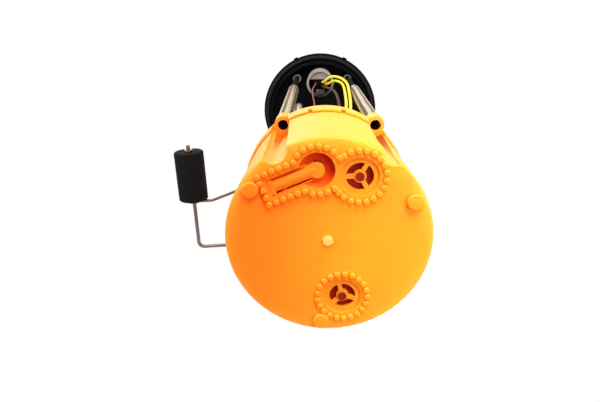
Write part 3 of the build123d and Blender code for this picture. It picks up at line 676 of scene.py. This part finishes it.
cordSetup = {"splineSteps": 14, "fixedEnd": 0.012}
feedHose = {
    "node": "feed_hose", "finish": "hose_nylon", "radius": 0.0048, "sides": 20,
    "stiffness": "stiff", "route": [
        (0, 0, -0.256), (0, 0, -0.231), (0.005, 0.005, -0.207), (0.015, 0.017, -0.178),
        (0.019, 0.029, -0.145), (0.016, 0.032, -0.11), (0.011, 0.027, -0.074), (0.009, 0.024, -0.042),
        (0.009, 0.024, -0.006)],
}
returnHose = {
    "node": "return_hose", "finish": "hose_nylon", "radius": 0.0032, "sides": 18,
    "stiffness": "stiff", "route": [
        (-0.0055, -0.0326, -0.346), (-0.0055, -0.0326, -0.321), (-0.0075, -0.031, -0.296),
        (-0.011, -0.0295, -0.266), (-0.016, -0.0295, -0.236), (-0.0188, -0.0298, -0.2),
        (-0.0194, -0.03, -0.16), (-0.0194, -0.024, -0.137), (-0.019, -0.008, -0.127),
        (-0.018, 0.009, -0.119), (-0.0168, 0.0185, -0.098), (-0.016, 0.0224, -0.07),
        (-0.016, 0.023, -0.042), (-0.016, 0.023, -0.006)],
}
limpLead = {"radius": 0.0012, "sides": 12, "stiffness": "limp"}
yellowWireOne = {
    "node": "yellow_wire_1", "finish": "yellow_insulation", **limpLead, "route": [
        (0.0052, -0.0345, -0.038), (0.0052, -0.0345, -0.05), (0.013, -0.04, -0.057),
        (0.02, -0.0395, -0.076), (0.0205, -0.038, -0.108), (0.0195, -0.036, -0.15),
        (0.0175, -0.034, -0.196), (0.0125, -0.027, -0.225), (0.0065, -0.0105, -0.236),
        (0.0065, -0.0105, -0.251)],
}
yellowWireTwo = {
    "node": "yellow_wire_2", "finish": "yellow_insulation", **limpLead, "route": [
        (0.002, -0.0362, -0.038), (0.002, -0.0362, -0.05), (0.0095, -0.0435, -0.054),
        (0.0185, -0.0435, -0.064), (0.024, -0.0414, -0.092), (0.0232, -0.038, -0.136),
        (0.0215, -0.0345, -0.185), (0.018, -0.028, -0.219), (0.0105, -0.0105, -0.236),
        (0.0105, -0.0105, -0.251)],
}
brownWire = {
    "node": "brown_wire", "finish": "brown_insulation", **limpLead, "route": [
        (0.002, -0.0323, -0.038), (0.002, -0.0323, -0.05), (0.0085, -0.033, -0.064),
        (0.013, -0.033, -0.09), (0.014, -0.032, -0.128), (0.014, -0.029, -0.172), (0.0145, -0.021, -0.21),
        (0.014, -0.002, -0.229), (0.009, 0.014, -0.226), (0.003, 0.025, -0.212), (-0.001, 0.03, -0.199),
        (-0.003, 0.0395, -0.199), (-0.003, 0.0395, -0.225)],
}
redWire = {
    "node": "red_wire", "finish": "red_insulation", "radius": 0.0006, "sides": 10,
    "stiffness": "limp", "route": [
        (-0.005, -0.035, -0.038), (-0.005, -0.035, -0.052), (-0.008, -0.036, -0.088),
        (-0.008, -0.035, -0.132), (-0.006, -0.0335, -0.18), (-0.007, -0.026, -0.216),
        (-0.012, -0.009, -0.234), (-0.017, 0.007, -0.232), (-0.018, 0.021, -0.22),
        (-0.017, 0.029, -0.202), (-0.015, 0.0395, -0.2), (-0.015, 0.0395, -0.225)],
}


def layCord(cord, setup):
    line = splineLine(cord["node"] + "Line", cord["route"], setup["splineSteps"])
    piece = tubeAlong(cord["node"] + "Tube", line, cord["radius"], cord["sides"])
    piece.data.materials.append(finishes[cord["finish"]])
    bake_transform(piece)
    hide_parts(cord["node"])
    print(cord["node"], "length", round(lineLength(line), 4))


for cord in (feedHose, returnHose, yellowWireOne, yellowWireTwo, brownWire, redWire):
    layCord(cord, cordSetup)


beadChain = {"radius": 0.00142, "height": 0.0023, "flat": -0.00125, "segments": 16, "rings": 12,
             "tipLevel": -0.3631, "tipSlack": 0.00008, "tipWidth": 0.0018}


def beadSeats(solid, beads):
    # the middle of each small tip under the floor
    tips = []
    for vertex in solid.data.vertices:
        if abs(vertex.co.z - beads["tipLevel"]) > beads["tipSlack"]:
            continue
        near = next((tip for tip in tips if (tip[0] - vertex.co).length < beads["tipWidth"]), None)
        if near is None:
            tips.append([vertex.co.copy()])
        else:
            near.append(vertex.co.copy())
    seats = []
    for tip in tips:
        xs, ys = [place.x for place in tip], [place.y for place in tip]
        seats.append(Vector(((min(xs) + max(xs)) / 2, (min(ys) + max(ys)) / 2, bucketLevels["floor"])))
    return seats


def makeBeads(beads):
    values = {"Radius": beads["radius"], "Height": beads["height"], "Flat": beads["flat"],
              "Segments": beads["segments"], "Rings": beads["rings"]}
    tree, given, result = startTree("beadChain", values)
    ball = addStep(tree, "GeometryNodeMeshUVSphere", {"Segments": given["Segments"], "Rings": given["Rings"]})
    size = addStep(tree, "ShaderNodeCombineXYZ", {
        "X": given["Radius"], "Y": given["Radius"], "Z": given["Height"]})
    shape = addStep(tree, "GeometryNodeTransform", {"Geometry": ball, "Scale": size})
    place = tree.nodes.new("GeometryNodeInputPosition").outputs["Position"]
    parts = addNode(tree, "ShaderNodeSeparateXYZ", {0: place}).outputs
    pressed = addStep(tree, "ShaderNodeCombineXYZ", {
        "X": parts["X"], "Y": parts["Y"], "Z": mathStep(tree, "MAXIMUM", parts["Z"], given["Flat"])})
    bead = addStep(tree, "GeometryNodeSetPosition", {"Geometry": shape, "Position": pressed})
    spread = addStep(tree, "GeometryNodeInstanceOnPoints", {"Points": given["Geometry"], "Instance": bead})
    endTree(tree, given, result, spread)
    seats = beadSeats(nodes["reservoir_bucket"], beads)
    piece = growPiece("floorBeads", seats, tree, values, "orange_moulding")
    finishPiece(piece, "orange_moulding", "reservoir")
    print("beads:", len(seats))


makeBeads(beadChain)


springCoil = {"wire": 0.00045, "wireSides": 8, "radius": 0.00295, "turns": 16.0, "steps": 22, "low": -0.274,
              "high": -0.1382}


def makeSprings(coil):
    height = coil["high"] - coil["low"] - 2 * coil["wire"]
    values = {"Turns": coil["turns"], "Radius": coil["radius"], "Height": height, "Wire": coil["wire"]}
    tree, given, result = startTree("springCoil", values)
    helix = addStep(tree, "GeometryNodeCurveSpiral", {
        "Resolution": coil["steps"], "Rotations": given["Turns"], "Start Radius": given["Radius"],
        "End Radius": given["Radius"], "Height": given["Height"]})
    ring = addStep(tree, "GeometryNodeCurvePrimitiveCircle", {
        "Resolution": coil["wireSides"], "Radius": given["Wire"]})
    skin = addStep(tree, "GeometryNodeCurveToMesh", {
        "Curve": helix, "Profile Curve": ring, "Fill Caps": True})
    spread = addStep(tree, "GeometryNodeInstanceOnPoints", {"Points": given["Geometry"], "Instance": skin})
    endTree(tree, given, result, spread)
    for side, (x, y) in strutPlaces.items():
        seat = (x, y, coil["low"] + coil["wire"])
        piece = growPiece("returnSpring" + side.capitalize(), [seat], tree, values, "spring_steel")
        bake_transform(piece)
        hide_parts("return_spring_" + side)
    print("springs wound")


makeSprings(springCoil)


def spreadBars(tree, line, size, axis, pivot, shift):
    # a bar on each point of a line about the origin, aimed away from it, and all of them moved together
    bar = addStep(tree, "GeometryNodeMeshCube", {"Size": size})
    place = tree.nodes.new("GeometryNodeInputPosition").outputs["Position"]
    aim = addStep(tree, "FunctionNodeAlignRotationToVector", {"Vector": place}, axis=axis, pivot_axis=pivot)
    spread = addStep(tree, "GeometryNodeInstanceOnPoints", {"Points": line, "Instance": bar, "Rotation": aim})
    return addStep(tree, "GeometryNodeTransform", {"Geometry": spread, "Translation": shift})


cardTracks = {"count": 27, "radius": 0.0138, "sweep": 96.0, "bar": (0.00034, 0.00012, 0.0034),
              "middle": (-0.008, 0.0433, -0.246)}


def makeCardTracks(tracks):
    values = {"Count": tracks["count"], "Radius": tracks["radius"], "Sweep": math.radians(tracks["sweep"]),
              "Bar": tracks["bar"]}
    tree, given, result = startTree("cardTracks", values)
    start = mathStep(tree, "MULTIPLY_ADD", given["Sweep"], -0.5, -math.pi / 2)
    arc = addStep(tree, "GeometryNodeCurveArc", {
        "Resolution": given["Count"], "Radius": given["Radius"], "Start Angle": start,
        "Sweep Angle": given["Sweep"]})
    upright = addStep(tree, "GeometryNodeTransform", {"Geometry": arc, "Rotation": (math.pi / 2, 0, 0)})
    bars = spreadBars(tree, upright, given["Bar"], "Z", "Y", tracks["middle"])
    endTree(tree, given, result, bars, smooth=False)
    piece = growPiece("cardTracks", [(0, 0, 0)], tree, values, "resistor_ink")
    finishPiece(piece, "resistor_ink", "reservoir")
    print("card tracks printed")


makeCardTracks(cardTracks)


gateMark = {"middle": (-0.0004, 0.0007), "radius": 0.0026, "height": 0.0008, "rings": 5, "steps": 22,
            "wobble": 0.07, "wobbleSeed": 3.1, "roughness": 0.00022, "grain": 1400, "edge": 0.35,
            "flare": 1.04, "sunk": 0.0005}


def makeGateMark(mark):
    # the torn end of the mould's gate under the floor's middle
    level, middle, steps = bucketLevels["floor"], Vector((*mark["middle"], 0)), mark["steps"]
    points, faces = [middle + Vector((0, 0, level - mark["height"]))], []
    for ring in range(1, mark["rings"] + 1):
        edge = mark["edge"] if ring == mark["rings"] else 1.0
        for step in range(steps):
            angle = 2 * math.pi * step / steps
            spot = Vector((math.cos(angle) * 2, math.sin(angle) * 2, mark["wobbleSeed"]))
            reach = mark["radius"] * ring / mark["rings"] * (1 + mark["wobble"] * noise.noise(spot))
            place = Vector((reach * math.cos(angle), reach * math.sin(angle), 0))
            lift = mark["roughness"] * noise.noise(place * mark["grain"])
            points.append(middle + place + Vector((0, 0, level + (lift - mark["height"]) * edge)))
    base = level + mark["sunk"]
    for step in range(steps):
        outer = (points[-steps] - middle) * mark["flare"]
        points.append(middle + Vector((outer.x, outer.y, base)))
    for step in range(steps):
        after = (step + 1) % steps
        faces.append([0, 1 + after, 1 + step])
        for ring in range(mark["rings"]):
            low, high = 1 + ring * steps, 1 + (ring + 1) * steps
            faces.append([low + step, low + after, high + after, high + step])
    faces.append(list(range(len(points) - steps, len(points))))
    piece = linkMesh("gateMark", points, faces)
    outwardFaces(piece)
    piece.data.shade_smooth()
    finishPiece(piece, "gate_scar", "reservoir")


makeGateMark(gateMark)


floatFoam = {"radius": 0.0094, "length": 0.0325, "corner": 0.0011, "bore": 0.00128, "dish": 0.0008,
             "mouthShare": 0.45, "far": (-0.0848, 0.0507, -0.2586), "near": (-0.0875, -0.020, -0.2586),
             "frontY": -0.0161, "steps": 64}


def makeFloat(foam):
    # a dished cylinder on the wire's line from far to near
    far, near = Vector(foam["far"]), Vector(foam["near"])
    share = (far.y - foam["frontY"] - foam["length"]) / (far.y - near.y)
    start = far + (near - far) * share
    mouth = foam["radius"] * foam["mouthShare"]
    outline = [(foam["dish"], foam["bore"]), (0.0, mouth)]
    outline += roundedProfile(foam["length"], foam["radius"], foam["corner"], foam["bore"])[1:-1]
    outline += [(foam["length"], mouth), (foam["length"] - foam["dish"], foam["bore"])]
    piece = turned("floatFoam", outline, start, near - far, foam["steps"], closed=True)
    smoothShading(piece, 40.0)
    finishPiece(piece, "float_nitrile", "float")
    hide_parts("float")
    print("float turned")


makeFloat(floatFoam)


footPads = {"radius": 0.00376, "corner": 0.0006, "top": -0.3618, "bottom": -0.36393, "circle": 0.0425,
            "angles": (-25.8, -145.8, 94.2), "steps": 40}


def makeFootPads(pads):
    for number, angle in enumerate(pads["angles"], 1):
        turn = math.radians(angle)
        start = (pads["circle"] * math.cos(turn), pads["circle"] * math.sin(turn), pads["top"])
        outline = roundedProfile(pads["top"] - pads["bottom"], pads["radius"], pads["corner"])
        pad = turned("footPad" + str(number), outline, start, (0, 0, -1), pads["steps"])
        smoothShading(pad, 40.0)
        finishPiece(pad, "orange_moulding", "reservoir")


makeFootPads(footPads)


pocketDish = {"middle": (-0.0055, -0.0326), "outer": 0.00807, "hub": 0.0037, "clear": 0.0036,
              "offset": 0.0005, "rim": 0.0004, "barTurn": 157.0, "mouth": 33.0, "hubDepth": 0.0027,
              "lowDepth": 0.00035, "highDepth": 0.0024, "wall": 0.001, "steps": 72, "rings": 8}


def makePocketDish(dish):
    # a shallow dish between the elbow and the pocket's wall, deeper towards the front
    middle, floor, front = Vector((*dish["middle"], 0)), bucketLevels["floor"], []
    sweep = 360.0 - 2 * dish["mouth"]
    for step in range(dish["steps"] + 1):
        away = math.radians(dish["mouth"] + sweep * step / dish["steps"])
        turn = away + math.radians(dish["barTurn"])
        clear = dish["clear"] + dish["offset"] * math.sin(away)
        inner = clear / abs(math.sin(away)) if math.cos(away) > 0 else max(dish["hub"], clear)
        inner = min(inner, dish["outer"] - dish["rim"])
        forward = (1 - math.sin(turn)) / 2
        wallDepth = dish["lowDepth"] + (dish["highDepth"] - dish["lowDepth"]) * forward
        for ring in range(dish["rings"] + 1):
            share = ring / dish["rings"]
            reach = inner + (dish["outer"] - inner) * share
            depth = dish["hubDepth"] + (wallDepth - dish["hubDepth"]) * share * share
            front.append(middle + Vector((reach * math.cos(turn), reach * math.sin(turn), floor + depth)))
    back = [point + Vector((0, 0, dish["wall"])) for point in front]
    piece = closedSheet("pocketDish", front, back, dish["rings"] + 1)
    # the dish is coloured with the pocket's painted shade
    finishPiece(piece, "pocket_shade", "reservoir")


makePocketDish(pocketDish)


elbowSlotShade = {"root": (-0.0058, -0.033), "turn": 157.0, "stops": (0.0036, 0.012, 0.021, 0.0224),
             "side": 0.00378, "bend": 0.0026, "level": -0.3614, "radius": 0.00034, "steps": 10, "sides": 10}


def makeElbowSlotShade(seal):
    # a thin lip along both sides of the elbow and round its far end, in the slot; its colour is painted shade
    # of the slot's walls
    turn, stops, side, bend = math.radians(seal["turn"]), seal["stops"], seal["side"], seal["bend"]
    along, across = Vector((math.cos(turn), math.sin(turn), 0)), Vector((-math.sin(turn), math.cos(turn), 0))
    root = Vector((*seal["root"], seal["level"]))
    corners = [(stop, side) for stop in stops] + [(stops[-1], aside) for aside in (bend, 0.0, -bend)]
    corners += [(stop, -side) for stop in reversed(stops)]
    route = [root + along * reach + across * aside for reach, aside in corners]
    line = splineLine("elbowSealLine", route, seal["steps"])
    piece = tubeAlong("elbowSlotShade", line, seal["radius"], seal["sides"])
    finishPiece(piece, "slot_shade_lip", "reservoir")


makeElbowSlotShade(elbowSlotShade)


fluteTongues = {"left": {"foot": (-0.02486, -0.04176), "lean": 49.0},
                "right": {"foot": (0.02888, -0.04094), "lean": -52.0}}
tongueShape = {"low": 0.05, "high": 0.985, "radius": 0.0063, "proud": 0.00018, "sunk": 0.00006,
               "back": 0.0003, "tip": 3.0, "root": 27.0, "taper": 1.3, "steps": 40, "across": 12}


def makeFluteShadeStrips(tongues, shape):
    # a slightly crowned strip up each flute, narrow at the foot, that carries painted shade where the flute
    # lies in shade
    for side, tongue in tongues.items():
        foot = Vector((*tongue["foot"], bucketLevels["floor"]))
        head = Vector((*strutPlaces[side], bucketLevels["rim"]))
        along = (head - foot).normalized()
        front, back = [], []
        for step in range(shape["steps"] + 1):
            share = shape["low"] + (shape["high"] - shape["low"]) * step / shape["steps"]
            middle = foot + (head - foot) * share
            inward = Vector((-middle.x, -middle.y, 0)).normalized()
            sideways = along.cross(inward)
            half = shape["tip"] + (shape["root"] - shape["tip"]) * share ** shape["taper"]
            for place in range(shape["across"] + 1):
                spot = 2 * place / shape["across"] - 1
                turn = math.radians(tongue["lean"] + half * spot)
                reach = shape["radius"] + shape["sunk"] - (shape["proud"] + shape["sunk"]) * (1 - spot ** 4)
                front.append(middle + reach * (inward * math.cos(turn) + sideways * math.sin(turn)))
                back.append(front[-1] + (front[-1] - middle).normalized() * shape["back"])
        piece = closedSheet("fluteShadeStrip" + side.capitalize(), front, back, shape["across"] + 1)
        finishPiece(piece, "tongue_" + side, "reservoir")
    print("pocket and flutes lined")


makeFluteShadeStrips(fluteTongues, tongueShape)


# a soft seal or a crimped sleeve where each lead enters something; ends are its lower and upper levels
wireSeals = {
    "plugSeal": {
        "ends": (-0.0402, -0.0378), "finish": "black_rubber", "body": "flange",
        "leads": {"YellowOne": {"at": (0.0052, -0.0345), "radius": 0.0023, "bore": 0.0011},
                  "YellowTwo": {"at": (0.002, -0.0362), "radius": 0.0019, "bore": 0.0011},
                  "Brown": {"at": (0.002, -0.0323), "radius": 0.0019, "bore": 0.0011},
                  "Red": {"at": (-0.005, -0.035), "radius": 0.0018, "bore": 0.0005}}},
    "pumpSeal": {
        "ends": (-0.2512, -0.2488), "finish": "black_rubber", "body": "reservoir",
        "leads": {"YellowOne": {"at": (0.0065, -0.0105), "radius": 0.00195, "bore": 0.0011},
                  "YellowTwo": {"at": (0.0105, -0.0105), "radius": 0.00195, "bore": 0.0011}}},
    "crimpSleeve": {
        "ends": (-0.2252, -0.2178), "finish": "brass", "body": "reservoir",
        "leads": {"Brown": {"at": (-0.003, 0.0395), "radius": 0.0018, "bore": 0.0011},
                  "Red": {"at": (-0.015, 0.0395), "radius": 0.0014, "bore": 0.0005}}},
}
# shares of a seal's length, with shares of its outer radius below and above the neck
sealOutline = {"low": ((0.0, 0.94), (0.08, 1.0), (0.36, 1.0)), "neck": (0.46, 0.58),
               "high": ((0.68, 0.97), (0.92, 0.97), (1.0, 0.9)), "steps": 28}


def makeWireSeals(name, kind, shares):
    low, high = kind["ends"]
    length = high - low
    for lead, seal in kind["leads"].items():
        outer, bore = seal["radius"], seal["bore"]
        outline = [(0.0, bore)] + [(length * at, outer * width) for at, width in shares["low"]]
        outline += [(length * at, (outer + bore) / 2) for at in shares["neck"]]
        outline += [(length * at, outer * width) for at, width in shares["high"]] + [(length, bore)]
        ring = turned(name + lead, outline, (*seal["at"], low), (0, 0, 1), shares["steps"], closed=True)
        smoothShading(ring, 50.0)
        finishPiece(ring, kind["finish"], kind["body"])


for name, kind in wireSeals.items():
    makeWireSeals(name, kind, sealOutline)
print("wire seals fitted")


coverRibs = {"count": 16, "start": 0.02, "length": 0.024, "width": 0.0014, "height": 0.0011, "level": 0.008}
pumpCapRibs = {"count": 8, "start": 0.0058, "length": 0.0095, "width": 0.0012, "height": 0.0014,
               "level": -0.2592}


def makeRadialRibs(name, ribs, finish, body):
    values = {"Count": ribs["count"], "Reach": ribs["start"] + ribs["length"] / 2,
              "Size": (ribs["length"], ribs["width"], ribs["height"])}
    tree, given, result = startTree(name, values)
    ring = addStep(tree, "GeometryNodeCurvePrimitiveCircle", {
        "Resolution": given["Count"], "Radius": given["Reach"]})
    shift = (0, 0, ribs["level"] + ribs["height"] / 2)
    bars = spreadBars(tree, ring, given["Size"], "X", "Z", shift)
    endTree(tree, given, result, bars, smooth=False)
    piece = growPiece(name, [(0, 0, 0)], tree, values, finish)
    finishPiece(piece, finish, body)


makeRadialRibs("coverRibs", coverRibs, "black_moulding", "flange")
makeRadialRibs("pumpCapRibs", pumpCapRibs, slotOfNode["pump_outlet_cap"], "reservoir")
print("ribs raised")


floorSetup = {"level": -0.3642, "half": 6.0, "colour": (0.8, 0.8, 0.8), "roughness": 0.7, "seenWhite": 0.6}


def makeFloor(setup):
    # white paper, lifted a little for the camera, and clear from below and for shadows
    half, level = setup["half"], setup["level"]
    corners = [(-half, -half, level), (half, -half, level), (half, half, level), (-half, half, level)]
    floor = linkMesh("benchTop", corners, [[0, 1, 2, 3]])
    material, tree, shader = startMaterial("benchTop")
    feed(tree, shader, {"Base Color": (*setup["colour"], 1.0), "Roughness": setup["roughness"]})
    below = tree.nodes.new("ShaderNodeNewGeometry").outputs["Backfacing"]
    ray = tree.nodes.new("ShaderNodeLightPath").outputs
    white = tree.nodes.new("ShaderNodeEmission").outputs[0]
    clear = tree.nodes.new("ShaderNodeBsdfTransparent").outputs[0]
    lifted = mathStep(tree, "MULTIPLY", ray["Is Camera Ray"], setup["seenWhite"])
    paper = addStep(tree, "ShaderNodeMixShader", {0: lifted, 1: shader.outputs[0], 2: white})
    through = mathStep(tree, "MAXIMUM", below, ray["Is Shadow Ray"])
    blend = addStep(tree, "ShaderNodeMixShader", {0: through, 1: paper, 2: clear})
    feed(tree, tree.nodes["Material Output"], {"Surface": blend})
    floor.data.materials.append(material)


worldSetup = {"ambient": 0.55, "seen": 1.0, "colour": (1.0, 1.0, 1.0)}


def makeWorld(setup):
    # the room looks brighter to the camera and in mirrors than it lights
    world = bpy.data.worlds.new("studioWorld")
    world.use_nodes = True
    scene.world = world
    tree = world.node_tree
    tree.nodes.clear()
    ray = tree.nodes.new("ShaderNodeLightPath").outputs
    rooms = []
    for strength in (setup["ambient"], setup["seen"]):
        values = {"Color": (*setup["colour"], 1.0), "Strength": strength}
        rooms.append(addStep(tree, "ShaderNodeBackground", values))
    mirrored = mathStep(tree, "MAXIMUM", ray["Is Glossy Ray"], ray["Is Transmission Ray"])
    direct = mathStep(tree, "MAXIMUM", ray["Is Camera Ray"], mirrored)
    blend = addStep(tree, "ShaderNodeMixShader", {0: direct, 1: rooms[0], 2: rooms[1]})
    addNode(tree, "ShaderNodeOutputWorld", {"Surface": blend})


lamps = {
    "keyLamp": {"place": (0.3, -1.15, -0.74), "aim": (0, 0, -0.3), "size": 0.75, "power": 24.0},
    "leftLamp": {"place": (-1.2, -0.4, -0.53), "aim": (0, 0, -0.3), "size": 0.3, "power": 9.0},
    "sideLamp": {"place": (0.22, -0.02, -0.56), "aim": (0.02, 0, -0.36), "size": 0.12, "power": 0.4},
    "topLamp": {"place": (-0.7, -1.0, 0.9), "aim": (0, 0, -0.1), "size": 0.8, "power": 16.0},
    "rearLamp": {"place": (0.5, 1.3, 0.6), "aim": (0, 0, -0.2), "size": 0.8, "power": 12.0},
}


def makeLamps(setups):
    for name, setup in setups.items():
        lampData = bpy.data.lights.new(name, "AREA")
        lampData.size = setup["size"]
        lampData.energy = setup["power"]
        lamp = bpy.data.objects.new(name, lampData)
        scene.collection.objects.link(lamp)
        lamp.location = setup["place"]
        towards = Vector(setup["aim"]) - Vector(setup["place"])
        lamp.rotation_euler = towards.to_track_quat("-Z", "Y").to_euler()
        lamp.visible_camera = False


makeFloor(floorSetup)
makeWorld(worldSetup)
makeLamps(lamps)
scene.view_settings.view_transform = "Standard"
print("stage lit")
